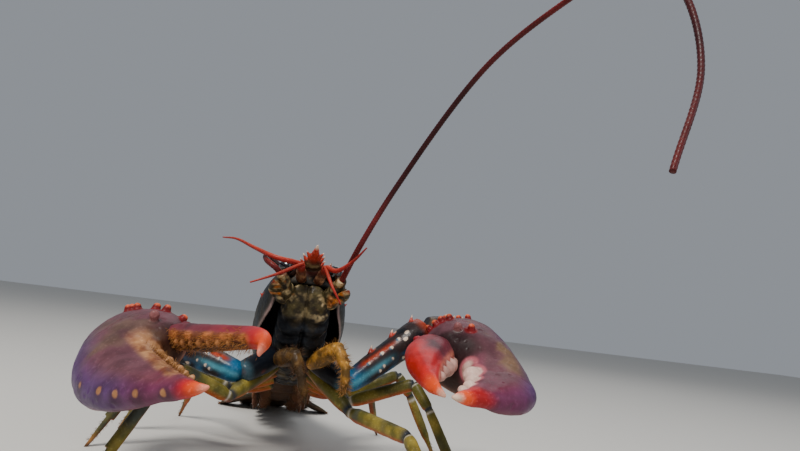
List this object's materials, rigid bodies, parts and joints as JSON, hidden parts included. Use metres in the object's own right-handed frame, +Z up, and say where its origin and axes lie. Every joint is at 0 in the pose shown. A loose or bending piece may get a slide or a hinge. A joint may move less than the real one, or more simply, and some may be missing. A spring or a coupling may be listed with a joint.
{
  "type": "american lobster figure",
  "caption": "Life-size still american lobster, front raised, claws held forward: one crusher claw, one cutter claw, long feelers, tail fan flat on the floor.",
  "frame": {"origin": "on the floor, under the middle of the whole animal", "axes": "+Z up, the head faces -Y and the animal's left side is towards +X"},
  "size_m": [0.2126, 0.479, 0.2101],
  "materials": {
    "shell": "wet, semi-gloss",
    "mouth": "damp, satin",
    "claw": "wet, semi-gloss",
    "fingertip": "wet, semi-gloss",
    "arm": "wet, semi-gloss",
    "leg": "wet, satin",
    "feeler": "satin",
    "eye": "glossy"
  },
  "bodies": {
    "root": {"carapace": "shell", "underside": "mouth", "eye_left": "eye", "eyestalk_left": "mouth", "eye_right": "eye", "eyestalk_right": "mouth", "antennule_left": "feeler", "antennule_right": "feeler", "antenna_left_stem": "mouth", "antenna_left_lower": "feeler", "antenna_left_middle": "feeler", "antenna_left_tip": "feeler", "antenna_right_stem": "mouth", "antenna_right_lower": "feeler", "antenna_right_middle": "feeler", "antenna_right_tip": "feeler", "maxilliped_left": "mouth", "maxilliped_right": "mouth", "claw_right_palm": "claw", "claw_right_finger": "fingertip", "claw_left_palm": "claw", "claw_left_finger": "fingertip", "arm_left_hip": "arm", "arm_left_merus": "arm", "arm_left_carpus": "arm", "arm_right_hip": "arm", "arm_right_merus": "arm", "arm_right_carpus": "arm", "leg_left_1_upper": "leg", "leg_left_1_lower": "leg", "leg_left_2_upper": "leg", "leg_left_2_lower": "leg", "leg_left_3_upper": "leg", "leg_left_3_lower": "leg", "leg_left_4_upper": "leg", "leg_left_4_lower": "leg", "leg_right_1_upper": "leg", "leg_right_1_lower": "leg", "leg_right_2_upper": "leg", "leg_right_2_lower": "leg", "leg_right_3_upper": "leg", "leg_right_3_lower": "leg", "leg_right_4_upper": "leg", "leg_right_4_lower": "leg", "abdomen_1": "shell", "abdomen_2": "shell", "abdomen_3": "shell", "abdomen_4": "shell", "abdomen_5": "shell", "abdomen_6": "shell", "telson": "shell", "uropod_left_inner": "shell", "uropod_left_outer": "shell", "uropod_right_inner": "shell", "uropod_right_outer": "shell"}
  },
  "joints": []
}
